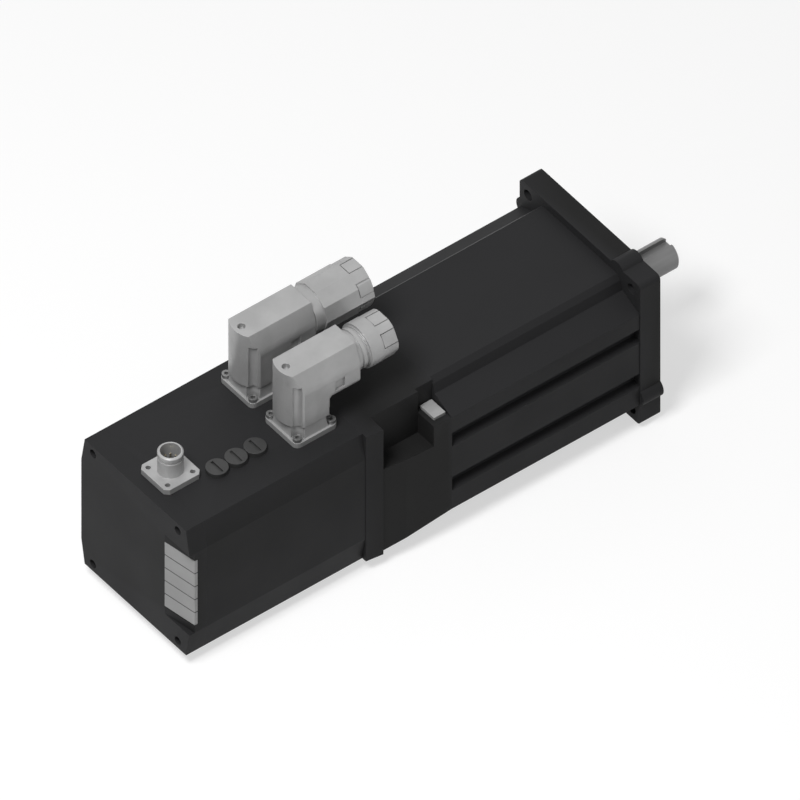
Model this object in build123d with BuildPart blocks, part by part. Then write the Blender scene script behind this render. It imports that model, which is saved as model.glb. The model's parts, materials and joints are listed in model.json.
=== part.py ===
from build123d import *
import os
from math import sqrt

# Integrated servo motor with its drive electronics in the rear housing.
# Millimetres. +X runs along the shaft towards its free end, +Z is up.
# The origin is the centre of the flange's front face, on the shaft axis.

# Driving dimensions of the whole motor
flange_size = 107.0
flange_thickness = 14.0
flange_corner_radius = 3.0
flange_bolt_circle = 130.0
flange_bolt_hole = 7.0
pilot_diameter = 95.0
pilot_height = 3.0
boss_offset = 33.0
boss_radius = 6.5
boss_rise = 3.0

shaft_diameter = 19.0
shaft_length = 48.0
key_width = 6.0
key_depth = 3.5
key_length = 32.0

stator_length = 130.0
stator_half_width = 53.0
stator_top_half_width = 36.0
adapter_length = 56.0
adapter_rim_length = 11.0
adapter_wall = 12.0
drive_length = 110.0
drive_size = 96.0
drive_wall = 4.5
drive_bevel_width = 3.0
drive_bevel_height = 17.5
rear_cover_thickness = 12.0

# Clearances used where pieces fit each other
running_clearance = 0.05
slip_clearance = 0.1
air_gap = 0.6
body_gap = 0.3

# Inner pieces of the motor
shaft_core_diameter = 24.0
bearing_width = 12.0
front_bearing_diameter = 47.0
rear_bearing_diameter = 40.0
rear_bearing_bore = 17.0
bearing_ring = 4.0
ball_count = 8
core_length = 84.0
stator_core_diameter = 82.0
rotor_diameter = 48.0
magnet_thickness = 3.0
magnet_count = 8
tooth_count = 12
tooth_width = 6.0
winding_overhang = 9.0

# Angled plug sockets on the drive housing
socket_to_adapter = 21.4
socket_base_size = 29.5
socket_base_height = 3.5
socket_base_hole_pitch = 23.5
socket_base_hole = 3.2
socket_pitch_y = 39.3
socket_middle_y = 1.6
socket_axis_height = 35.8
socket_body_top = 50.5
socket_body_width = 27.0
socket_body_top_width = 17.8
socket_rear = 15.5
socket_front = 30.8
socket_bore = 19.0
nut_bore = 22.4
small_nut_diameter = 27.5
small_nut_length = 26.0
large_nut_diameter = 31.0
large_nut_length = 39.0

# Round signal plug with its square plate
signal_to_cover = 8.3
signal_y = -5.1
signal_plate = 25.0
signal_plate_thickness = 3.7
signal_hole_pitch = 17.3
signal_hole = 3.0
signal_sleeve_diameter = 14.6
signal_sleeve_bore = 11.6
signal_sleeve_height = 14.7

# Screw caps over the setting switches
cap_to_cover = 30.1
cap_y = -18.5
cap_pitch = 13.2
cap_diameter = 12.8
cap_height = 3.0
cap_count = 3

# Status lights on the bevelled rear edge
light_count = 5
light_pitch = 10.0
light_gap = 0.8
light_width = 22.0
light_depth = 2.0
light_bevel = 3.6

# Planes that the sizes above give along the shaft axis
flange_rear = -flange_thickness
stator_rear = flange_rear - stator_length
adapter_rear = stator_rear - adapter_length
drive_rear = adapter_rear - drive_length
cover_rear = drive_rear - rear_cover_thickness
half_flange = flange_size / 2
half_drive = drive_size / 2
drive_top = half_drive
socket_base_x = adapter_rear - socket_to_adapter
signal_x = drive_rear + signal_to_cover
cap_x = drive_rear + cap_to_cover

os.makedirs("parts", exist_ok=True)


def save(piece, node):
    """Label one finished piece and write it under its node name."""
    piece.part.label = node
    export_step(piece.part, f"parts/{node}.step")


def across(x):
    """A plane square to the shaft at x, with its own x along +Y and its own y along +Z."""
    return Plane(origin=(x, 0, 0), x_dir=(0, 1, 0), z_dir=(1, 0, 0))


def level(z, x=0.0, y=0.0):
    """A level plane at height z, centred over the point x, y."""
    return Plane(origin=(x, y, z), x_dir=(1, 0, 0), z_dir=(0, 0, 1))


def ring(x, length, outer, inner):
    """A plain ring round the shaft axis that runs from x to x + length."""
    with BuildPart() as piece:
        with BuildSketch(across(x)):
            Circle(outer / 2)
            Circle(inner / 2, mode=Mode.SUBTRACT)
        extrude(amount=length)
    return piece


def drive_outline():
    """The drive housing's section: a square whose sides lean in near the top and bottom."""
    half = half_drive
    bevel = drive_bevel_width
    flat = half_drive - drive_bevel_height
    return [
        (half, flat), (half - bevel, half), (bevel - half, half), (-half, flat),
        (-half, -flat), (bevel - half, -half), (half - bevel, -half), (half, -flat),
    ]


def corner_points(pitch_x, pitch_y):
    """The four corners of a rectangle of holes."""
    return [(sx * pitch_x / 2, sy * pitch_y / 2) for sx in (-1, 1) for sy in (-1, 1)]


# Drive housing: an open-ended shell that carries the sockets on its top wall
socket_ys = {"left": socket_middle_y + socket_pitch_y / 2, "right": socket_middle_y - socket_pitch_y / 2}
cap_xs = [cap_x + i * cap_pitch for i in range(cap_count)]
cap_seat = cap_diameter / 2 - 1.5
drive_cavity = drive_size - 2 * drive_wall - 2 * drive_bevel_width
with BuildPart() as drive_housing:
    with BuildSketch(across(drive_rear)):
        Polygon(*drive_outline(), align=None)
        Rectangle(drive_cavity, drive_size - 2 * drive_wall, mode=Mode.SUBTRACT)
    extrude(amount=drive_length)
    with BuildSketch(level(drive_top - drive_wall)):
        with Locations(*[(socket_base_x, y) for y in socket_ys.values()]):
            Circle(socket_bore / 2)
        with Locations((signal_x, signal_y)):
            Circle(signal_sleeve_bore / 2)
        with Locations(*[(x, cap_y) for x in cap_xs]):
            Circle(cap_seat)
    extrude(amount=drive_wall, mode=Mode.SUBTRACT)
save(drive_housing, "drive_housing")

# Rear cover: a plate with a bevelled right edge where the status lights sit
screw_y = half_drive - drive_bevel_width - 7.4
screw_z = half_drive - 5.5
cover_screw_radius = 2.4
cover_screw_recess = 3.0
light_span = light_count * light_pitch
flat_half = half_drive - drive_bevel_height
with BuildPart() as rear_cover:
    with BuildSketch(across(cover_rear)):
        Polygon(*drive_outline(), align=None)
    extrude(amount=rear_cover_thickness)
    with BuildSketch(Plane.XY.offset(-flat_half)):
        with BuildLine():
            Polyline(
                (cover_rear, -half_drive + light_width),
                (cover_rear + light_bevel, -half_drive),
                (cover_rear, -half_drive),
                close=True,
            )
        make_face()
    extrude(amount=2 * flat_half, mode=Mode.SUBTRACT)
    with BuildSketch(Plane.XY.offset(-light_span / 2)):
        with BuildLine():
            Polyline(
                (cover_rear, -half_drive + light_width),
                (cover_rear + light_bevel, -half_drive),
                (cover_rear + light_bevel + light_depth, -half_drive),
                (cover_rear + light_depth, -half_drive + light_width),
                close=True,
            )
        make_face()
    extrude(amount=light_span, mode=Mode.SUBTRACT)
    with BuildSketch(across(cover_rear)):
        with Locations(*corner_points(2 * screw_y, 2 * screw_z)):
            Circle(cover_screw_radius + body_gap)
    extrude(amount=rear_cover_thickness, mode=Mode.SUBTRACT)
save(rear_cover, "rear_cover")

with BuildPart() as cover_screws:
    with BuildSketch(across(cover_rear + cover_screw_recess)):
        with Locations(*corner_points(2 * screw_y, 2 * screw_z)):
            Circle(cover_screw_radius)
    extrude(amount=rear_cover_thickness - cover_screw_recess)
    with BuildSketch(across(cover_rear + cover_screw_recess)):
        with Locations(*corner_points(2 * screw_y, 2 * screw_z)):
            RegularPolygon(cover_screw_radius / 2, 6)
    extrude(amount=cover_screw_radius / 2, mode=Mode.SUBTRACT)
save(cover_screws, "rear_cover_screws")

with BuildPart() as status_lights:
    for i in range(light_count):
        low = -light_span / 2 + i * light_pitch + light_gap / 2
        with BuildSketch(Plane.XY.offset(low)):
            with BuildLine():
                Polyline(
                    (cover_rear, -half_drive + light_width),
                    (cover_rear + light_bevel, -half_drive),
                    (cover_rear + light_bevel + light_depth, -half_drive),
                    (cover_rear + light_depth, -half_drive + light_width),
                    close=True,
                )
            make_face()
        extrude(amount=light_pitch - light_gap)
save(status_lights, "status_lights")


def outline_points(points):
    """The points of a section from those of its upper right quarter, mirrored both ways."""
    upper = points + [(-y, z) for y, z in reversed(points)]
    return upper + [(-y, -z) for y, z in upper]


# Adapter casting between drive and motor: a rim, a swelling body and two side pockets
adapter_front = stator_rear
rim_front = adapter_rear + adapter_rim_length
swell_x = rim_front + 15.0
rim_half = half_drive + 0.3
rim_flare = 1.5
swell_half = stator_half_width - 2.0
rim_end_half = half_drive + 1.0
rim_end_corner_z = half_drive - 2.0
swell_corner_z = half_drive - 4.5
adapter_top_half = half_drive - 1.0
front_corner_z = half_drive - 10.0
front_top_half = stator_half_width - 8.0
pocket_floor_z = drive_top - 31.3
pocket_depth = 10.0
ledge_length = 12.0
ledge_depth = 12.5
ledge_z = drive_top - 16.0
pocket_front = adapter_front - ledge_length
adapter_top_corner = (adapter_top_half, drive_top)
rim_end_outline = outline_points([(rim_end_half, rim_end_corner_z), adapter_top_corner])
swell_outline = outline_points([(swell_half, swell_corner_z), adapter_top_corner])
front_outline = outline_points([(stator_half_width, front_corner_z), (front_top_half, drive_top)])
with BuildPart() as adapter:
    with BuildSketch(across(adapter_rear)):
        Rectangle(2 * rim_half, 2 * half_drive)
    with BuildSketch(across(rim_front)):
        Rectangle(2 * (rim_half + rim_flare), 2 * half_drive)
    loft()
    with BuildSketch(across(rim_front)):
        Polygon(*rim_end_outline, align=None)
    with BuildSketch(across(swell_x)):
        Polygon(*swell_outline, align=None)
    loft()
    with BuildSketch(across(swell_x)):
        Polygon(*swell_outline, align=None)
    with BuildSketch(across(adapter_front)):
        Polygon(*front_outline, align=None)
    loft()
    with BuildSketch(across(adapter_rear)):
        Circle(drive_size / 2 - adapter_wall)
    extrude(amount=adapter_length, mode=Mode.SUBTRACT)
    pocket_length = pocket_front - rim_front
    pocket_height = drive_top - pocket_floor_z
    for side in (-1, 1):
        with BuildSketch(level(pocket_floor_z, (rim_front + pocket_front) / 2, side * half_drive)):
            Rectangle(pocket_length, 2 * pocket_depth)
        extrude(amount=pocket_height + 1, mode=Mode.SUBTRACT)
        with BuildSketch(level(ledge_z, adapter_front, side * half_drive)):
            Rectangle(2 * ledge_length, 2 * ledge_depth)
        extrude(amount=drive_top, mode=Mode.SUBTRACT)
save(adapter, "adapter_housing")

# Bare metal pad for the protective earth, on the ledge at the pocket's end
earth_pad_y = -(half_drive - 5.7)
earth_pad_inset = 1.0
earth_pad_length = 8.0
earth_pad_width = 12.4
earth_pad_height = 2.0
with BuildPart() as earth_pad:
    with BuildSketch(level(ledge_z, adapter_front - earth_pad_length / 2 - earth_pad_inset, earth_pad_y)):
        Rectangle(earth_pad_length, earth_pad_width)
    extrude(amount=earth_pad_height)
save(earth_pad, "earth_pad")

# Stator housing: an extruded profile with a raised top, shoulders and long side grooves
groove_depth = 5.0
grooves = [(20.6, 10.0), (-13.6, -24.0)]
shoulder_z = 38.8
side_top_z = 32.0
side_bottom_z = -38.0
bottom_half_width = 45.0
stator_bore = stator_core_diameter + 2 * slip_clearance
right_side = [
    (stator_top_half_width - 3.0, drive_top),
    (stator_top_half_width, drive_top - 3.0),
    (stator_top_half_width + 1.7, shoulder_z),
    (stator_half_width, side_top_z),
]
for high, low in grooves:
    right_side += [
        (stator_half_width, high),
        (stator_half_width - groove_depth, high - 2.0),
        (stator_half_width - groove_depth, low + 2.0),
        (stator_half_width, low),
    ]
right_side += [(stator_half_width, side_bottom_z), (bottom_half_width, -half_drive)]
with BuildPart() as stator_housing:
    with BuildSketch(across(stator_rear)):
        with BuildLine():
            Polyline(*(right_side + [(-y, z) for y, z in reversed(right_side)]), close=True)
        make_face()
        Circle(stator_bore / 2, mode=Mode.SUBTRACT)
    extrude(amount=stator_length)
save(stator_housing, "stator_housing")

# Mounting flange and front bearing shield, with a boss on each edge
shield_bore = front_bearing_diameter
shaft_hole = shaft_core_diameter + 2.0
boss_spots = [
    (boss_offset, -(half_flange + boss_rise - boss_radius)),
    (half_flange + boss_rise - boss_radius, boss_offset),
    (-boss_offset, half_flange + boss_rise - boss_radius),
    (-(half_flange + boss_rise - boss_radius), -boss_offset),
]
bolt_spots = corner_points(flange_bolt_circle / sqrt(2), flange_bolt_circle / sqrt(2))
front_bearing_x = flange_rear + 1.0
seal_thickness = 7.0
seal_diameter = 40.0
with BuildPart() as mounting_flange:
    with BuildSketch(across(flange_rear)):
        RectangleRounded(flange_size, flange_size, flange_corner_radius)
        with Locations(*boss_spots):
            Circle(boss_radius)
    extrude(amount=flange_thickness)
    with BuildSketch(across(0)):
        Circle(pilot_diameter / 2)
    extrude(amount=pilot_height)
    chamfer(faces().sort_by(Axis.X)[-1].edges(), 0.8)
    with BuildSketch(across(flange_rear)):
        Circle(shaft_hole / 2)
    extrude(amount=flange_thickness + pilot_height, mode=Mode.SUBTRACT)
    with BuildSketch(across(flange_rear)):
        Circle(shield_bore / 2)
    extrude(amount=bearing_width + 1.0, mode=Mode.SUBTRACT)
    with BuildSketch(across(flange_rear)):
        with Locations(*bolt_spots):
            Circle(flange_bolt_hole / 2)
    extrude(amount=flange_thickness, mode=Mode.SUBTRACT)
save(mounting_flange, "mounting_flange")


# Rotor: a stepped shaft with its keyway, and the magnets on a laminated core
rear_bearing_x = stator_rear + 3.0
core_x = -108.0
front_seat_diameter = 25.0
rear_seat_end = rear_bearing_x - 1.0
tail_diameter = 12.0
tail_end = adapter_rear + 6.0
shoulder_x = front_bearing_x + bearing_width
with BuildPart() as motor_shaft:
    with BuildSketch(Plane.XZ):
        with BuildLine():
            Polyline(
                (tail_end, 0),
                (tail_end, tail_diameter / 2),
                (rear_seat_end, tail_diameter / 2),
                (rear_seat_end, rear_bearing_bore / 2),
                (rear_bearing_x + bearing_width, rear_bearing_bore / 2),
                (rear_bearing_x + bearing_width, shaft_core_diameter / 2),
                (front_bearing_x - 2.0, shaft_core_diameter / 2),
                (front_bearing_x - 2.0, front_seat_diameter / 2 - 1.5),
                (front_bearing_x - 0.5, front_seat_diameter / 2 - 1.5),
                (front_bearing_x - 0.5, front_seat_diameter / 2 - 2.5),
                (pilot_height, front_seat_diameter / 2 - 2.5),
                (pilot_height, shaft_diameter / 2),
                (shaft_length - 1.0, shaft_diameter / 2),
                (shaft_length, shaft_diameter / 2 - 1.0),
                (shaft_length, 0),
                close=True,
            )
        make_face()
    revolve(axis=Axis.X)
    with BuildSketch(level(shaft_diameter / 2 - key_depth)):
        with Locations((shaft_length - key_length / 2, 0)):
            Rectangle(key_length, key_width)
    extrude(amount=key_depth + 1.0, mode=Mode.SUBTRACT)
save(motor_shaft, "motor_shaft")
front_bearing_bore = front_seat_diameter - 5.0

core_diameter = rotor_diameter - 2 * magnet_thickness
with BuildPart() as rotor_core:
    with BuildSketch(across(core_x)):
        RegularPolygon(core_diameter / 2, magnet_count, major_radius=False, rotation=180 / magnet_count)
        Circle(shaft_core_diameter / 2, mode=Mode.SUBTRACT)
    extrude(amount=core_length)
save(rotor_core, "rotor_core")

magnet_width = 13.5
with BuildPart() as rotor_magnets:
    with BuildSketch(across(core_x + 1.0)):
        with PolarLocations(core_diameter / 2 + magnet_thickness / 2, magnet_count, start_angle=0):
            Rectangle(magnet_thickness, magnet_width)
    extrude(amount=core_length - 2.0)
save(rotor_magnets, "rotor_magnets")

# Stator: a toothed lamination pack with one coil round each tooth
rotor_swing = sqrt((core_diameter / 2 + magnet_thickness) ** 2 + (magnet_width / 2) ** 2)
tooth_tip_radius = rotor_swing + air_gap
yoke_thickness = 6.0
yoke_inner_radius = stator_core_diameter / 2 - yoke_thickness
with BuildPart() as stator_core:
    with BuildSketch(across(core_x)):
        Circle(stator_core_diameter / 2)
        Circle(yoke_inner_radius, mode=Mode.SUBTRACT)
        tooth_length = yoke_inner_radius - tooth_tip_radius + 1.0
        with PolarLocations(tooth_tip_radius + tooth_length / 2, tooth_count):
            Rectangle(tooth_length, tooth_width)
        Circle(tooth_tip_radius, mode=Mode.SUBTRACT)
    extrude(amount=core_length)
save(stator_core, "stator_core")

coil_side = 2.2
coil_depth = yoke_inner_radius - tooth_tip_radius - 3.0
coil_x = core_x - winding_overhang
coil_middle = tooth_tip_radius + 1.0 + coil_depth / 2
with BuildPart() as stator_windings:
    with BuildSketch(across(coil_x)):
        with PolarLocations(coil_middle, tooth_count):
            Rectangle(coil_depth, tooth_width + 2 * slip_clearance + 2 * coil_side)
    extrude(amount=core_length + 2 * winding_overhang)
    with BuildSketch(across(core_x - slip_clearance)):
        with PolarLocations(coil_middle, tooth_count):
            Rectangle(coil_depth + 1.0, tooth_width + 2 * slip_clearance)
    extrude(amount=core_length + 2 * slip_clearance, mode=Mode.SUBTRACT)
save(stator_windings, "stator_windings")

# Rear bearing bracket, set in the stator housing's rear end
bracket_length = bearing_width + 2.0
with BuildPart() as bearing_bracket:
    with BuildSketch(across(rear_bearing_x - 2.0)):
        Circle(stator_bore / 2)
        Circle(rear_bearing_bore / 2 + 5.0, mode=Mode.SUBTRACT)
    extrude(amount=bracket_length)
    with BuildSketch(across(rear_bearing_x)):
        Circle(rear_bearing_diameter / 2)
    extrude(amount=bearing_width, mode=Mode.SUBTRACT)
save(bearing_bracket, "rear_bearing_bracket")


# Ball bearings: outer ring, inner ring and a ring of balls each
def bearing_rings(x, outer, bore, name):
    """The two rings and the balls of one bearing that starts at x."""
    outer_ring = ring(x, bearing_width, outer, outer - 2 * bearing_ring)
    save(outer_ring, f"{name}_bearing_outer_ring")
    inner_ring = ring(x, bearing_width, bore + 2 * bearing_ring, bore)
    save(inner_ring, f"{name}_bearing_inner_ring")
    ball_space = (outer - bore) / 2 - 2 * bearing_ring
    ball_circle = (outer + bore) / 4
    with BuildPart() as balls:
        with Locations(across(x + bearing_width / 2)):
            with PolarLocations(ball_circle, ball_count):
                Sphere(ball_space / 2 - running_clearance)
    save(balls, f"{name}_bearing_balls")


bearing_rings(front_bearing_x, front_bearing_diameter, front_bearing_bore, "front")
bearing_rings(rear_bearing_x, rear_bearing_diameter, rear_bearing_bore, "rear")

# Shaft seal in the pilot, round the shaft
seal_x = shoulder_x + 0.5
seal_bore = front_bearing_bore + 2 * slip_clearance
shaft_seal = ring(seal_x, pilot_height - 0.5 - seal_x, shaft_hole, seal_bore)
save(shaft_seal, "shaft_seal")

# Holding brake and encoder behind the rear bearing
brake_diameter = drive_size - 2 * adapter_wall - 2.0
brake_length = 22.0
brake_x = rear_bearing_x - 2.0 - brake_length
brake_magnet = ring(brake_x, brake_length, brake_diameter, tail_diameter + 8.0)
save(brake_magnet, "brake_magnet")
brake_disc = ring(brake_x - 5.0, 4.5, brake_diameter - 6.0, tail_diameter)
save(brake_disc, "brake_disc")
encoder_x = adapter_rear + 8.0
encoder_disc_diameter = 40.0
encoder_disc_thickness = 2.0
encoder_body_thickness = 6.0
encoder_disc = ring(encoder_x + 3.0, encoder_disc_thickness, encoder_disc_diameter, tail_diameter)
save(encoder_disc, "encoder_disc")
with BuildPart() as encoder_body:
    with BuildSketch(across(encoder_x + 6.0)):
        Circle(drive_size / 2 - adapter_wall)
        Circle(tail_diameter / 2 + 3.0, mode=Mode.SUBTRACT)
    extrude(amount=encoder_body_thickness)
save(encoder_body, "encoder_body")

# Drive electronics on two boards along the housing, with the storage capacitors
board_end_space = 16.0
board_length = drive_length - board_end_space
power_board_z = -34.0
control_board_z = 26.0
board_thickness = 1.6
board_span = drive_cavity
board_x = drive_rear + drive_length / 2
for name, z in (("power_board", power_board_z), ("control_board", control_board_z)):
    with BuildPart() as board:
        with BuildSketch(level(z, board_x)):
            RectangleRounded(board_length, board_span, 2.0)
        extrude(amount=board_thickness)
    save(board, name)
capacitor_diameter = 25.0
capacitor_height = 40.0
capacitor_pitch_x = 30.0
capacitor_y = 20.0
capacitor_xs = (-capacitor_pitch_x, 0.0, capacitor_pitch_x)
with BuildPart() as capacitors:
    with BuildSketch(level(power_board_z + board_thickness, board_x)):
        with Locations(*[(x, y) for x in capacitor_xs for y in (-capacitor_y, capacitor_y)]):
            Circle(capacitor_diameter / 2)
    extrude(amount=capacitor_height)
save(capacitors, "storage_capacitors")

# Angled sockets: a square base, a turret that swivels on it, and a coupling nut
socket_block_height = 8.0
base_top = drive_top + socket_base_height + socket_block_height
turret_radius = socket_body_width / 2
socket_axis_z = drive_top + socket_axis_height
neck_radius = nut_bore / 2 - slip_clearance
cavity_radius = socket_bore / 2
insert_back = 6.0
insert_front = 16.0
pin_front = 24.0
pin_radius = 1.0
pin_circle = 5.5
pin_count = 6
base_screw_head = 2.6
base_screw_head_height = 2.4
spigot_radius = cavity_radius - slip_clearance


def socket_plane(x, y):
    """A plane square to the shaft, centred on one socket's barrel axis."""
    return Plane(origin=(socket_base_x + x, y, socket_axis_z), x_dir=(0, 1, 0), z_dir=(1, 0, 0))


def angled_socket(name, y, nut_diameter, nut_length, flats):
    """One angled socket with its base at y, written as separate pieces."""
    holes = corner_points(socket_base_hole_pitch, socket_base_hole_pitch)
    with BuildPart() as base:
        with BuildSketch(level(drive_top, socket_base_x, y)):
            RectangleRounded(socket_base_size, socket_base_size, 3.5)
        extrude(amount=socket_base_height)
        with BuildSketch(level(drive_top + socket_base_height, socket_base_x, y)):
            RectangleRounded(socket_body_width, socket_body_width, 2.0)
            with Locations(*holes):
                Circle(base_screw_head + 1.2, mode=Mode.SUBTRACT)
        extrude(amount=base_top - drive_top - socket_base_height, taper=6)
        with BuildSketch(level(drive_top, socket_base_x, y)):
            Circle(cavity_radius)
            with Locations(*holes):
                Circle(socket_base_hole / 2)
        extrude(amount=base_top - drive_top, mode=Mode.SUBTRACT)
    save(base, f"{name}_socket_base")

    with BuildPart() as screws:
        with BuildSketch(level(drive_top, socket_base_x, y)):
            with Locations(*holes):
                Circle(socket_base_hole / 2 - slip_clearance)
        extrude(amount=socket_base_height)
        with BuildSketch(level(drive_top + socket_base_height, socket_base_x, y)):
            with Locations(*holes):
                Circle(base_screw_head)
                RegularPolygon(base_screw_head / 2, 6, mode=Mode.SUBTRACT)
        extrude(amount=base_screw_head_height)
    save(screws, f"{name}_base_screws")

    with BuildPart() as turret:
        with BuildSketch(level(base_top + body_gap, socket_base_x, y)):
            Circle(turret_radius)
        extrude(amount=socket_axis_height - (base_top + body_gap - drive_top))
        with BuildSketch(socket_plane(-socket_rear, y)):
            Circle(turret_radius)
            with Locations((0, (socket_body_top - socket_axis_height) / 2)):
                Rectangle(socket_body_top_width, socket_body_top - socket_axis_height)
            make_hull()
        extrude(amount=socket_rear + socket_front)
        with BuildSketch(level(drive_top, socket_base_x, y)):
            Circle(socket_rear)
            with Locations((socket_front / 2, 0)):
                Rectangle(socket_front, 2 * socket_rear)
        extrude(amount=2 * socket_body_top, mode=Mode.INTERSECT)
        with BuildSketch(socket_plane(socket_front, y)):
            Circle(neck_radius)
        extrude(amount=nut_length - 2.0)
        with BuildSketch(level(drive_top + 2.0, socket_base_x, y)):
            Circle(spigot_radius)
        extrude(amount=base_top - drive_top)
        with BuildSketch(socket_plane(insert_back, y)):
            Circle(cavity_radius)
        extrude(amount=socket_front + nut_length, mode=Mode.SUBTRACT)
        with BuildSketch(level(drive_top, socket_base_x, y)):
            Circle(cavity_radius - 2.5)
        extrude(amount=socket_axis_height - 4.0, mode=Mode.SUBTRACT)
    save(turret, f"{name}_socket_turret")

    with BuildPart() as insert:
        with BuildSketch(socket_plane(insert_back, y)):
            Circle(cavity_radius - slip_clearance)
            with PolarLocations(pin_circle, pin_count):
                Circle(pin_radius, mode=Mode.SUBTRACT)
        extrude(amount=insert_front - insert_back)
    save(insert, f"{name}_socket_insert")

    with BuildPart() as pins:
        with BuildSketch(socket_plane(insert_back, y)):
            with PolarLocations(pin_circle, pin_count):
                Circle(pin_radius)
        extrude(amount=pin_front - insert_back)
    save(pins, f"{name}_socket_pins")

    nut_x = socket_front + body_gap
    collar_length = 8.0
    with BuildPart() as nut:
        with BuildSketch(socket_plane(nut_x, y)):
            Circle(nut_diameter / 2 - 1.5)
        extrude(amount=collar_length)
        if flats:
            with BuildSketch(socket_plane(nut_x + collar_length - 2.0, y)):
                RegularPolygon(nut_diameter / 2, flats)
            extrude(amount=nut_length - collar_length + 2.0)
        else:
            with BuildSketch(socket_plane(nut_x + collar_length, y)):
                Circle(nut_diameter / 2)
            extrude(amount=nut_length - collar_length)
            for groove_x in (2.5, 6.0):
                with BuildSketch(socket_plane(nut_x + groove_x, y)):
                    Circle(nut_diameter / 2)
                    Circle(nut_diameter / 2 - 2.2, mode=Mode.SUBTRACT)
                extrude(amount=1.2, mode=Mode.SUBTRACT)
        grip_length = 9.0
        with BuildSketch(socket_plane(nut_x + nut_length - grip_length, y)):
            with PolarLocations(nut_diameter / 2 + 0.2, 6, start_angle=30):
                Rectangle(1.8, 8.0)
        extrude(amount=grip_length, mode=Mode.SUBTRACT)
        with BuildSketch(socket_plane(nut_x, y)):
            Circle(nut_bore / 2)
        extrude(amount=nut_length, mode=Mode.SUBTRACT)
    save(nut, f"{name}_coupling_nut")


angled_socket("left", socket_ys["left"], large_nut_diameter, large_nut_length, 10)
angled_socket("right", socket_ys["right"], small_nut_diameter, small_nut_length, 0)

# Signal plug: a square plate with an upright sleeve, its insert, pins and screws
plate_top = drive_top + signal_plate_thickness
sleeve_top = plate_top + signal_sleeve_height
signal_insert_top = plate_top + 4.0
signal_pin_top = plate_top + 9.0
signal_holes = corner_points(signal_hole_pitch, signal_hole_pitch)
with BuildPart() as signal_plug:
    with BuildSketch(level(drive_top, signal_x, signal_y)):
        Rectangle(signal_plate, signal_plate)
        chamfer(vertices(), 2.5)
        with Locations(*signal_holes):
            Circle(signal_hole / 2, mode=Mode.SUBTRACT)
    extrude(amount=signal_plate_thickness)
    with BuildSketch(level(plate_top, signal_x, signal_y)):
        Circle(signal_sleeve_diameter / 2)
    extrude(amount=signal_sleeve_height)
    chamfer(faces().sort_by(Axis.Z)[-1].edges(), 0.7)
    with BuildSketch(level(sleeve_top - 4.5, signal_x, signal_y)):
        Circle(signal_sleeve_diameter / 2)
        Circle(signal_sleeve_diameter / 2 - 0.8, mode=Mode.SUBTRACT)
    extrude(amount=1.6, mode=Mode.SUBTRACT)
    with BuildSketch(level(drive_top, signal_x, signal_y)):
        Circle(signal_sleeve_bore / 2)
    extrude(amount=sleeve_top - drive_top, mode=Mode.SUBTRACT)
save(signal_plug, "signal_plug_shell")

signal_pin_count = 7
signal_pin_circle = 3.6
with BuildPart() as signal_insert:
    with BuildSketch(level(drive_top, signal_x, signal_y)):
        Circle(signal_sleeve_bore / 2 - slip_clearance)
        with PolarLocations(signal_pin_circle, signal_pin_count):
            Circle(0.5, mode=Mode.SUBTRACT)
    extrude(amount=signal_insert_top - drive_top)
save(signal_insert, "signal_plug_insert")

with BuildPart() as signal_pins:
    with BuildSketch(level(drive_top, signal_x, signal_y)):
        with PolarLocations(signal_pin_circle, signal_pin_count):
            Circle(0.5)
    extrude(amount=signal_pin_top - drive_top)
save(signal_pins, "signal_plug_pins")

# Slotted caps screwed into the top wall over the setting switches
with BuildPart() as caps:
    with BuildSketch(level(drive_top, 0, 0)):
        with Locations(*[(x, cap_y) for x in cap_xs]):
            Circle(cap_diameter / 2)
    extrude(amount=cap_height)
    with BuildSketch(level(drive_top - drive_wall, 0, 0)):
        with Locations(*[(x, cap_y) for x in cap_xs]):
            Circle(cap_seat - slip_clearance)
    extrude(amount=drive_wall)
    with BuildSketch(level(drive_top + cap_height - 1.2, 0, 0)):
        with Locations(*[(x, cap_y) for x in cap_xs]):
            Rectangle(1.6, cap_diameter - 3.0)
    extrude(amount=1.2, mode=Mode.SUBTRACT)
save(caps, "switch_caps")
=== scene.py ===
import json
from math import asin, cos, pi, radians, sin

import bmesh
import bpy
from mathutils import Matrix, Vector

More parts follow.
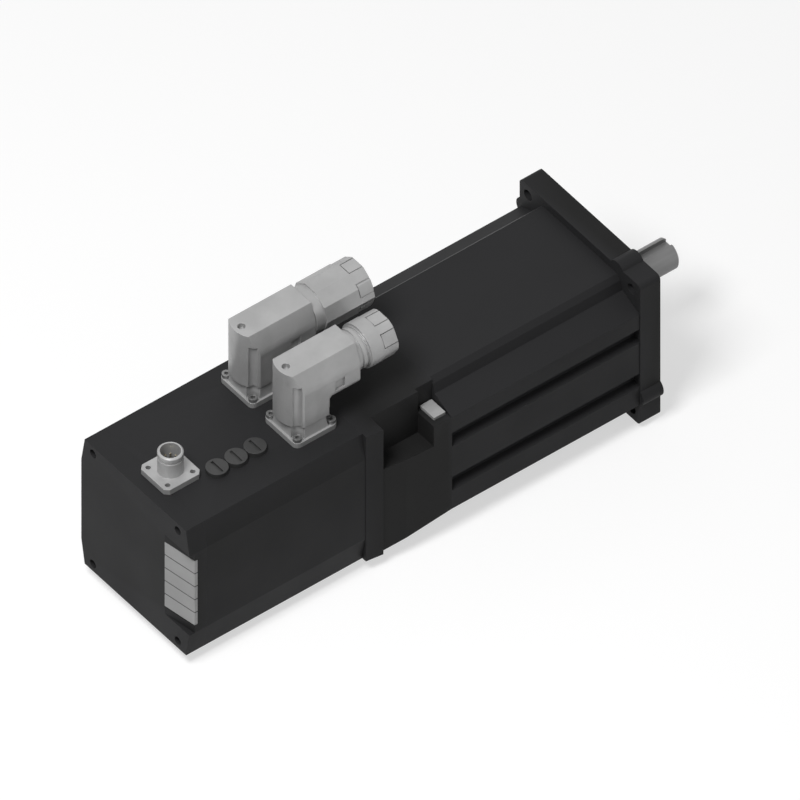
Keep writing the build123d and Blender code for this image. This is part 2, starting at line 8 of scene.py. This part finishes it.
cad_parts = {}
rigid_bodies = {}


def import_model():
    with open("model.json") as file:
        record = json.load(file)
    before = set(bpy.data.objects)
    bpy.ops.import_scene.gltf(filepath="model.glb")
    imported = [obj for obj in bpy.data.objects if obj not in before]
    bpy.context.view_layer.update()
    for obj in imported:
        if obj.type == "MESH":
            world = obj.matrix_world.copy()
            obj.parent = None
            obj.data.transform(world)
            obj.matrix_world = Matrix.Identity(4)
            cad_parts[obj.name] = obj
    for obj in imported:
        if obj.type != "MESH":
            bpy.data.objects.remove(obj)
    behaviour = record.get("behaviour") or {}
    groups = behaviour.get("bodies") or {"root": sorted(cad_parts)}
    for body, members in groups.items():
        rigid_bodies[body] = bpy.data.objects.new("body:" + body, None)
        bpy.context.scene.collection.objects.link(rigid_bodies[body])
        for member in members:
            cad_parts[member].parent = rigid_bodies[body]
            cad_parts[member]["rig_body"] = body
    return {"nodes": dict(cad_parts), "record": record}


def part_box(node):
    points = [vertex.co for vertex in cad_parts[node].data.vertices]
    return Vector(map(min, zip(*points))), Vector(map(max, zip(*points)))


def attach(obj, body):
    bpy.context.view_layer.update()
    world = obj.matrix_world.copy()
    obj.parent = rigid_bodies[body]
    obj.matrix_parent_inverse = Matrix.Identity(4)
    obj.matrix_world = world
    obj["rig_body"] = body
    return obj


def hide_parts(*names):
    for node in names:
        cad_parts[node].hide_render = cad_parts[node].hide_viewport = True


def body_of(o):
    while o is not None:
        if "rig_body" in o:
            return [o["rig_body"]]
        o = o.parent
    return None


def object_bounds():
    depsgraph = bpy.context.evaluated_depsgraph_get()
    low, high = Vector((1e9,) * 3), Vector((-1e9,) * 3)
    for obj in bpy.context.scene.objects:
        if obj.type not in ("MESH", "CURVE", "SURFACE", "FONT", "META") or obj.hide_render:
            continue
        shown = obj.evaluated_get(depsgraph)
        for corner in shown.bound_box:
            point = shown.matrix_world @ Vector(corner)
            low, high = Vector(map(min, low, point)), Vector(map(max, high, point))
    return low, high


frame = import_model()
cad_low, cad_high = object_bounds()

MM = 0.001

# View of the photograph: a parallel projection from above and behind
PHOTO_SIDE = 800
MM_PER_PIXEL = 0.546
FLANGE_CENTRE_PIXEL = (600.1, 290.6)
ELEVATION = radians(45)
TURN = radians(38)
CAMERA_DISTANCE = 1.5
CAMERA_REACH = 10

# Pale ground, and the floor that takes the motor's shadow
GROUND_TONE = 0.965
WORLD_STRENGTH = 0.2
FLOOR_TONE = 0.45
FLOOR_LIFT = 0.6
FLOOR_ROUGHNESS = 0.9
FLOOR_SIZE = 12
FLOOR_GAP = 0.5 * MM

# Soft square lamps that look at the middle of the motor: name, place, side and power
MOTOR_MIDDLE = Vector((-0.16, 0, 0))
LAMPS = (
    ("key", (-1.0, -0.3, 1.65), 0.6, 29),
    ("fill", (0.8, -1.2, 0.9), 1.4, 0.6),
    ("rim", (-0.2, 1.3, 1.1), 1.4, 1.5),
)

# Finishes: ranges of noise that are used, fine relief and softened edges
NOISE_RANGE = (0.3, 0.7)
COLOUR_RANGE = (0.35, 0.65)
RELIEF_STRENGTH = 0.5
EDGE_SAMPLES = 4
BROAD_SHARE = 12
BROAD_DETAIL = 3.0
FINE_DETAIL = 5.0
ROUGHNESS_SPREAD = 0.06
ALONG_SHAFT = (0.06, 1.0, 1.0)

# Matt black powder coat
COAT_GREYS = (0.011, 0.014)
COAT_RUBBED = (0.02, 0.02, 0.021, 1)
COAT_RUB_RANGE = (0.53, 0.62)
COAT_ROUGHNESS = (0.52, 0.62)
COAT_SPECULAR = 0.12
PEEL_SCALE = 900
PEEL_DETAIL = 4.0
PEEL_DEPTH = 0.08 * MM
PATCH_SCALE = 22
PATCH_DETAIL = 5.0
COAT_EDGE = 0.25 * MM

# Angled sockets, measured from the middle of the base on the housing's top
NECK_BACK = 15.5 * MM
NECK_FRONT = 13.0 * MM
NECK_HALF_WIDTH = 13.45 * MM
NECK_CORNER = 4.0 * MM
NECK_GAP = 0.3 * MM
AXIS_HEIGHT = 35.8 * MM
BODY_TOP = 50.5 * MM
SCREW_PITCH = 23.5 * MM
CHANNEL_RADIUS = 3.0 * MM
REAR_CHANNEL_TOP = 42.0 * MM
FRONT_CHANNEL_TOP = 24.0 * MM
DIMPLE_BACK = 10.5 * MM
DIMPLE_RADIUS = 2.3 * MM
DIMPLE_DEPTH = 3.5 * MM
RECESS_FROM = 13.5 * MM
RECESS_TO = 20.0 * MM
RECESS_DEPTH = 1.2 * MM
RECESS_BELOW_LOW = 8.5 * MM
RECESS_BELOW_HIGH = 1.5 * MM
BARREL_FRONT = 30.7 * MM
BARREL_CORNER = 4.5 * MM

# Grip pads on the coupling nuts
GRIP_COUNT = 6
GRIP_START = radians(30)
GRIP_LENGTH = 9.4 * MM
GRIP_HALF_WIDTH = 4.4 * MM
GRIP_GROOVE = 0.5 * MM
GRIP_DEPTH = 1.7 * MM

# Status lights, with dark strips of painted shade in the seams between them
LIGHT_COUNT = 5
LIGHT_GAP = 0.8 * MM
LIGHT_DEPTH = 2.0 * MM
SEAM_SINK = 0.1 * MM

# Meshes: round steps, how far a cut runs past a face, and what is joined or kept crisp
ARC_STEPS = 16
CORNER_STEPS = 8
CIRCLE_STEPS = 32
OVERCUT = 1.0 * MM
WELD = 0.002 * MM
FLAT_ANGLE = radians(1)
CRISP_ANGLE = radians(20)

slot_of = {part["node"]: part["material_slot"] for part in frame["record"]["subparts"]}


def new_object(name, data):
    """An object in the scene that shows the data."""
    thing = bpy.data.objects.new(name, data)
    bpy.context.scene.collection.objects.link(thing)
    return thing


def add_camera():
    """A parallel camera that puts the flange's centre on its pixel of the photograph."""
    right = Vector((cos(TURN), -sin(TURN), 0))
    up = Vector((sin(TURN) * sin(ELEVATION), cos(TURN) * sin(ELEVATION), cos(ELEVATION)))
    back = right.cross(up)
    data = bpy.data.cameras.new("camera")
    data.type = "ORTHO"
    data.ortho_scale = PHOTO_SIDE * MM_PER_PIXEL * MM
    data.clip_end = CAMERA_REACH
    camera = new_object("camera", data)
    middle = PHOTO_SIDE / 2
    off_right = (middle - FLANGE_CENTRE_PIXEL[0]) * MM_PER_PIXEL * MM
    off_up = (FLANGE_CENTRE_PIXEL[1] - middle) * MM_PER_PIXEL * MM
    place = right * off_right + up * off_up + back * CAMERA_DISTANCE
    turn = Matrix((right, up, back)).transposed().to_4x4()
    camera.matrix_world = Matrix.Translation(place) @ turn
    bpy.context.scene.camera = camera


def add_lamp(name, place, size, power):
    """A square soft lamp at place that looks at the middle of the motor."""
    data = bpy.data.lights.new(name, "AREA")
    data.size = size
    data.energy = power
    lamp = new_object(name, data)
    aim = MOTOR_MIDDLE - Vector(place)
    lamp.rotation_euler = aim.to_track_quat("-Z", "Y").to_euler()
    lamp.location = place


def node_tree(name):
    """A new node material, with its tree and its shader."""
    material = bpy.data.materials.new(name)
    material.use_nodes = True
    tree = material.node_tree
    return material, tree, tree.nodes["Principled BSDF"]


def link(tree, source, target):
    """Feeds a socket of one node into a socket of another."""
    tree.links.new(source, target)


def noise(tree, scale, detail, stretch=None):
    """Noise in the object's own metres, stretched along an axis where asked."""
    place = tree.nodes.new("ShaderNodeTexCoord").outputs["Object"]
    texture = tree.nodes.new("ShaderNodeTexNoise")
    texture.inputs["Scale"].default_value = scale
    texture.inputs["Detail"].default_value = detail
    if stretch:
        mapping = tree.nodes.new("ShaderNodeMapping")
        mapping.inputs["Scale"].default_value = stretch
        link(tree, place, mapping.inputs["Vector"])
        place = mapping.outputs["Vector"]
    link(tree, place, texture.inputs["Vector"])
    return texture.outputs["Fac"]


def ramp(tree, value, low, high, at=COLOUR_RANGE):
    """Colours or greys between low and high over the middle of a value's range."""
    node = tree.nodes.new("ShaderNodeValToRGB")
    for element, place, colour in zip(node.color_ramp.elements, at, (low, high)):
        element.position = place
        element.color = (*colour, 1)
    link(tree, value, node.inputs["Fac"])
    return node.outputs["Color"]


def grey(value):
    """A colour with the same value in all three channels."""
    return (value, value, value)


def spread(tree, value, to_low, to_high):
    """A noise value mapped to a plain range."""
    node = tree.nodes.new("ShaderNodeMapRange")
    node.inputs["From Min"].default_value = NOISE_RANGE[0]
    node.inputs["From Max"].default_value = NOISE_RANGE[1]
    node.inputs["To Min"].default_value = to_low
    node.inputs["To Max"].default_value = to_high
    link(tree, value, node.inputs["Value"])
    return node.outputs["Result"]


def relief(tree, value, depth, edge):
    """Fine relief of the given depth in metres, over edges softened by a small radius."""
    soft = tree.nodes.new("ShaderNodeBevel")
    soft.samples = EDGE_SAMPLES
    soft.inputs["Radius"].default_value = edge
    node = tree.nodes.new("ShaderNodeBump")
    node.inputs["Strength"].default_value = RELIEF_STRENGTH
    node.inputs["Distance"].default_value = depth
    link(tree, value, node.inputs["Height"])
    link(tree, soft.outputs["Normal"], node.inputs["Normal"])
    return node.outputs["Normal"]


def surface(name, dark, light, rough, metal, grain, depth, edge=0.4 * MM, stretch=None, coat=0.0):
    """A finish with colour that varies, roughness that varies and a fine grain."""
    material, tree, shader = node_tree(name)
    broad = noise(tree, grain / BROAD_SHARE, BROAD_DETAIL, stretch)
    fine = noise(tree, grain, FINE_DETAIL, stretch)
    roughness = spread(tree, fine, rough - ROUGHNESS_SPREAD, rough + ROUGHNESS_SPREAD)
    link(tree, ramp(tree, broad, dark, light), shader.inputs["Base Color"])
    link(tree, roughness, shader.inputs["Roughness"])
    link(tree, relief(tree, fine, depth, edge), shader.inputs["Normal"])
    shader.inputs["Metallic"].default_value = metal
    shader.inputs["Coat Weight"].default_value = coat
    return material


def grey_surface(name, dark, light, rough, metal, grain, depth, **more):
    """A finish without colour, from two greys."""
    return surface(name, grey(dark), grey(light), rough, metal, grain, depth, **more)


def worn_coat(name):
    """Powder coat with a fine orange peel, dusty patches and edges rubbed a little paler."""
    material, tree, shader = node_tree(name)
    peel = noise(tree, PEEL_SCALE, PEEL_DETAIL)
    patch = noise(tree, PATCH_SCALE, PATCH_DETAIL)
    geometry = tree.nodes.new("ShaderNodeNewGeometry")
    rub = ramp(tree, geometry.outputs["Pointiness"], grey(0.0), grey(1.0), COAT_RUB_RANGE)
    base = ramp(tree, patch, grey(COAT_GREYS[0]), grey(COAT_GREYS[1]))
    mix = tree.nodes.new("ShaderNodeMix")
    mix.data_type = "RGBA"
    mix.inputs["B"].default_value = COAT_RUBBED
    link(tree, rub, mix.inputs["Factor"])
    link(tree, base, mix.inputs["A"])
    link(tree, mix.outputs["Result"], shader.inputs["Base Color"])
    link(tree, spread(tree, patch, *COAT_ROUGHNESS), shader.inputs["Roughness"])
    link(tree, relief(tree, peel, PEEL_DEPTH, COAT_EDGE), shader.inputs["Normal"])
    shader.inputs["Specular IOR Level"].default_value = COAT_SPECULAR
    return material


def make_materials():
    """One finish for each material slot of the record."""
    return {
        "black_paint": worn_coat("black_coat"),
        "nickel": grey_surface(
            "satin_nickel", dark=0.36, light=0.42, rough=0.42, metal=0.35, grain=700, depth=0.04 * MM),
        "ground_steel": grey_surface(
            "ground_steel", dark=0.17, light=0.23, rough=0.38, metal=0.55, grain=1500, depth=0.03 * MM,
            edge=0.3 * MM, stretch=ALONG_SHAFT),
        "bare_metal": grey_surface(
            "milled_metal", dark=0.36, light=0.44, rough=0.4, metal=0.3, grain=1200, depth=0.04 * MM,
            edge=0.3 * MM, stretch=ALONG_SHAFT),
        "dark_steel": grey_surface(
            "blackened_steel", dark=0.035, light=0.06, rough=0.42, metal=0.6, grain=800, depth=0.03 * MM),
        "light_lens": grey_surface(
            "light_lens", dark=0.31, light=0.35, rough=0.5, metal=0.0, grain=500, depth=0.02 * MM,
            edge=0.2 * MM, coat=0.2),
        "black_plastic": grey_surface(
            "black_plastic", dark=0.02, light=0.03, rough=0.5, metal=0.0, grain=900, depth=0.05 * MM),
        "seal_rubber": grey_surface(
            "seal_rubber", dark=0.018, light=0.028, rough=0.7, metal=0.0, grain=600, depth=0.05 * MM),
        "gold_pins": surface(
            "gold_pins", dark=(0.42, 0.37, 0.27), light=(0.52, 0.46, 0.34), rough=0.3, metal=0.9,
            grain=900, depth=0.01 * MM),
        "copper": surface(
            "enamelled_copper", dark=(0.5, 0.2, 0.08), light=(0.7, 0.32, 0.14), rough=0.35, metal=0.8,
            grain=900, depth=0.1 * MM),
        "lamination": grey_surface(
            "lamination_stack", dark=0.2, light=0.3, rough=0.5, metal=0.7, grain=900, depth=0.06 * MM),
        "magnet": grey_surface(
            "plated_magnet", dark=0.4, light=0.5, rough=0.35, metal=0.8, grain=500, depth=0.03 * MM),
        "circuit_board": surface(
            "circuit_board", dark=(0.02, 0.12, 0.05), light=(0.03, 0.17, 0.07), rough=0.4, metal=0.0,
            grain=700, depth=0.04 * MM),
    }


def dress_nodes(materials):
    """Each solid of the frame takes the finish of its slot."""
    for node, slot in slot_of.items():
        piece = frame["nodes"][node]
        piece.data.materials.clear()
        piece.data.materials.append(materials[slot])


def upright(x, y, z):
    """The place of a prism's point where its outline lies flat and it rises along Z."""
    return (x, y, z)


def lengthwise(y, z, x):
    """The place of a prism's point where its outline lies across the shaft."""
    return (x, y, z)


def prism(outline, low, high, place=upright):
    """A function that fills a bmesh with a prism over an outline, turned by place."""
    def fill(shape):
        bottom = [shape.verts.new(place(a, b, low)) for a, b in outline]
        top = [shape.verts.new(place(a, b, high)) for a, b in outline]
        shape.faces.new(bottom[::-1])
        shape.faces.new(top)
        for i in range(len(outline)):
            k = (i + 1) % len(outline)
            shape.faces.new((bottom[i], bottom[k], top[k], top[i]))
    return fill


def filled_mesh(name, fill):
    """A mesh with the faces that a function puts into a bmesh, all turned outwards."""
    mesh = bpy.data.meshes.new(name)
    shape = bmesh.new()
    fill(shape)
    bmesh.ops.recalc_face_normals(shape, faces=shape.faces)
    shape.to_mesh(mesh)
    shape.free()
    return mesh


def arc(x, y, radius, start, sweep, steps):
    """Points along part of a circle round (x, y), with both of its ends."""
    turns = [start + sweep * i / steps for i in range(steps + 1)]
    return [(x + radius * cos(turn), y + radius * sin(turn)) for turn in turns]


def disc(x, y, radius):
    """Points of a full circle."""
    return arc(x, y, radius, 0, 2 * pi, CIRCLE_STEPS)[:-1]


def block(x_low, x_high, y_low, y_high):
    """Points of a rectangle."""
    return [(x_low, y_low), (x_high, y_low), (x_high, y_high), (x_low, y_high)]


def neck_outline(origin):
    """A socket's upright body: a wide arc behind, flat sides and rounded front corners."""
    half = NECK_HALF_WIDTH
    swing = pi - asin(half / NECK_BACK)
    points = arc(0, 0, NECK_BACK, swing, 2 * pi - 2 * swing, ARC_STEPS)
    for side, start in ((-1, -pi / 2), (1, 0)):
        middle = (NECK_FRONT - NECK_CORNER, side * (half - NECK_CORNER))
        points += arc(*middle, NECK_CORNER, start, pi / 2, CORNER_STEPS)
    return [(origin.x + x, origin.y + y) for x, y in points]


def barrel_outline(middle_y, axis):
    """A barrel's lower half across the shaft: flat sides, a flat underside and rounded corners."""
    half = NECK_HALF_WIDTH
    inner = half - BARREL_CORNER
    points = [(middle_y + half, axis), (middle_y - half, axis)]
    for side, start in ((-1, pi), (1, 1.5 * pi)):
        points += arc(middle_y + side * inner, axis - inner, BARREL_CORNER, start, pi / 2, CORNER_STEPS)
    return points


def weld(mesh, dissolve=False):
    """Joins doubled points; then joins flat faces where asked, or else turns all faces outwards."""
    shape = bmesh.new()
    shape.from_mesh(mesh)
    bmesh.ops.remove_doubles(shape, verts=shape.verts, dist=WELD)
    if dissolve:
        bmesh.ops.dissolve_limit(shape, angle_limit=FLAT_ANGLE, verts=shape.verts, edges=shape.edges)
    else:
        bmesh.ops.recalc_face_normals(shape, faces=shape.faces)
    shape.to_mesh(mesh)
    shape.free()


def tidy_shading(mesh):
    """Smooth curves and crisp edges, with long thin faces joined into flat ones."""
    weld(mesh, dissolve=True)
    if "custom_normal" in mesh.attributes:
        mesh.attributes.remove(mesh.attributes["custom_normal"])
    mesh.shade_smooth()
    mesh.set_sharp_from_angle(angle=CRISP_ANGLE)


def carved(node, name, joins, cuts):
    """A copy of a node with shapes joined and cut, which stands for that node."""
    source = frame["nodes"][node]
    piece = new_object(name, source.data.copy())
    weld(piece.data)
    tools = []
    for operation, fills in (("UNION", joins), ("DIFFERENCE", cuts)):
        for fill in fills:
            tool = new_object("tool", filled_mesh("tool", fill))
            tools.append(tool)
            step = piece.modifiers.new(operation, "BOOLEAN")
            step.operation = operation
            step.solver = "EXACT"
            step.object = tool
    bpy.context.view_layer.update()
    result = piece.evaluated_get(bpy.context.evaluated_depsgraph_get())
    mesh = bpy.data.meshes.new_from_object(result)
    piece.modifiers.clear()
    piece.data = mesh
    for tool in tools:
        bpy.data.objects.remove(tool)
    tidy_shading(mesh)
    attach(piece, body_of(source)[0])
    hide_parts(node)


def socket_origin(side):
    """The middle of a socket's base, on the drive housing's top."""
    low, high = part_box(f"{side}_socket_base")
    return Vector(((low[0] + high[0]) / 2, (low[1] + high[1]) / 2, low[2]))


def dress_turret(side):
    """A socket's upper part with its square neck, screw channels, dimple and side recesses."""
    origin = socket_origin(side)
    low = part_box(f"{side}_socket_turret")[0]
    base_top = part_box(f"{side}_socket_base")[1][2]
    floor = max(low[2], base_top) + NECK_GAP
    top = origin.z + BODY_TOP
    axis = origin.z + AXIS_HEIGHT
    barrel = barrel_outline(origin.y, axis)
    joins = [prism(neck_outline(origin), floor, axis)]
    joins.append(prism(barrel, origin.x, origin.x + BARREL_FRONT, lengthwise))
    cuts = []
    for x, height in ((-SCREW_PITCH / 2, REAR_CHANNEL_TOP), (SCREW_PITCH / 2, FRONT_CHANNEL_TOP)):
        for y in (-SCREW_PITCH / 2, SCREW_PITCH / 2):
            channel = disc(origin.x + x, origin.y + y, CHANNEL_RADIUS)
            cuts.append(prism(channel, floor - OVERCUT, origin.z + height))
    dimple = disc(origin.x - DIMPLE_BACK, origin.y, DIMPLE_RADIUS)
    cuts.append(prism(dimple, top - DIMPLE_DEPTH, top + OVERCUT))
    for y in (-1, 1):
        wall = origin.y + y * NECK_HALF_WIDTH
        recess = block(origin.x + RECESS_FROM, origin.x + RECESS_TO, wall - RECESS_DEPTH, wall + RECESS_DEPTH)
        cuts.append(prism(recess, axis - RECESS_BELOW_LOW, axis - RECESS_BELOW_HIGH))
    carved(f"{side}_socket_turret", f"{side}_turret_shell", joins, cuts)


def dress_nut(side):
    """A coupling nut with thin grooves round its grip pads."""
    low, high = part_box(f"{side}_coupling_nut")
    middle_y = (low[1] + high[1]) / 2
    axis = (low[2] + high[2]) / 2
    outer = (high[1] - low[1]) / 2
    back = high[0] - GRIP_LENGTH
    front = high[0] + OVERCUT
    half = GRIP_HALF_WIDTH
    inner = half - GRIP_GROOVE
    groove = [(back, -half), (front, -half), (front, -inner), (back + GRIP_GROOVE, -inner),
              (back + GRIP_GROOVE, inner), (front, inner), (front, half), (back, half)]
    cuts = []
    for i in range(GRIP_COUNT):
        angle = GRIP_START + 2 * pi * i / GRIP_COUNT

        def outward(x, across, out, angle=angle):
            return (x, middle_y + out * cos(angle) - across * sin(angle),
                    axis + out * sin(angle) + across * cos(angle))

        cuts.append(prism(groove, outer - GRIP_DEPTH, outer + OVERCUT, outward))
    carved(f"{side}_coupling_nut", f"{side}_grip_nut", [], cuts)


def add_seam_shade_strips(material):
    """Dark strips of painted shade in the seams between the status lights, where the gaps fall into shade."""
    low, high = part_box("status_lights")
    pitch = (high[2] - low[2] + LIGHT_GAP) / LIGHT_COUNT
    outline = [(low[0] + SEAM_SINK, high[1]), (high[0] - LIGHT_DEPTH + SEAM_SINK, low[1]),
               (high[0], low[1]), (low[0] + LIGHT_DEPTH, high[1])]

    def fill(shape):
        for i in range(LIGHT_COUNT - 1):
            top = low[2] + (i + 1) * pitch
            prism(outline, top - LIGHT_GAP, top)(shape)

    # The strips are painted shade in the gaps, not a part of the lights
    shade_strips = new_object("light_seam_shade", filled_mesh("light_seam_shade", fill))
    shade_strips.data.materials.append(material)
    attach(shade_strips, body_of(frame["nodes"]["status_lights"])[0])


def seen_rays(tree):
    """One for rays that the camera, a reflection or a clear material sends, else zero."""
    path = tree.nodes.new("ShaderNodeLightPath")
    value = path.outputs["Is Camera Ray"]
    for kind in ("Is Glossy Ray", "Is Transmission Ray"):
        either = tree.nodes.new("ShaderNodeMath")
        either.operation = "MAXIMUM"
        link(tree, value, either.inputs[0])
        link(tree, path.outputs[kind], either.inputs[1])
        value = either.outputs[0]
    return value


def add_floor(height):
    """A pale floor that keeps the motor's soft shadow and reads as pale ground to the camera."""
    bpy.ops.mesh.primitive_plane_add(size=FLOOR_SIZE, location=(0, 0, height))
    floor = bpy.context.object
    floor.name = "floor"
    material, tree, shader = node_tree("floor")
    shader.inputs["Base Color"].default_value = (*grey(FLOOR_TONE), 1)
    shader.inputs["Roughness"].default_value = FLOOR_ROUGHNESS
    shader.inputs["Specular IOR Level"].default_value = 0
    shader.inputs["Emission Color"].default_value = (*grey(1), 1)
    lift = tree.nodes.new("ShaderNodeMath")
    lift.operation = "MULTIPLY"
    lift.inputs[1].default_value = FLOOR_LIFT
    link(tree, seen_rays(tree), lift.inputs[0])
    link(tree, lift.outputs[0], shader.inputs["Emission Strength"])
    floor.data.materials.append(material)


def add_world():
    """An even pale world that shows the same flat ground to the camera."""
    world = bpy.data.worlds.new("world")
    bpy.context.scene.world = world
    world.use_nodes = True
    tree = world.node_tree
    light = tree.nodes["Background"]
    light.inputs["Color"].default_value = (*grey(1), 1)
    light.inputs["Strength"].default_value = WORLD_STRENGTH
    ground = tree.nodes.new("ShaderNodeBackground")
    ground.inputs["Color"].default_value = (*grey(GROUND_TONE), 1)
    mix = tree.nodes.new("ShaderNodeMixShader")
    link(tree, seen_rays(tree), mix.inputs["Fac"])
    link(tree, light.outputs["Background"], mix.inputs[1])
    link(tree, ground.outputs["Background"], mix.inputs[2])
    link(tree, mix.outputs["Shader"], tree.nodes["World Output"].inputs["Surface"])


add_camera()
materials = make_materials()
dress_nodes(materials)
for side in ("left", "right"):
    dress_turret(side)
    dress_nut(side)
# Black plastic strips paint the shade in the seams between the status lights
add_seam_shade_strips(materials["black_plastic"])
add_world()
for name, place, size, power in LAMPS:
    add_lamp(name, place, size, power)
add_floor(cad_low[2] - FLOOR_GAP)

bpy.context.scene.view_settings.view_transform = "Standard"
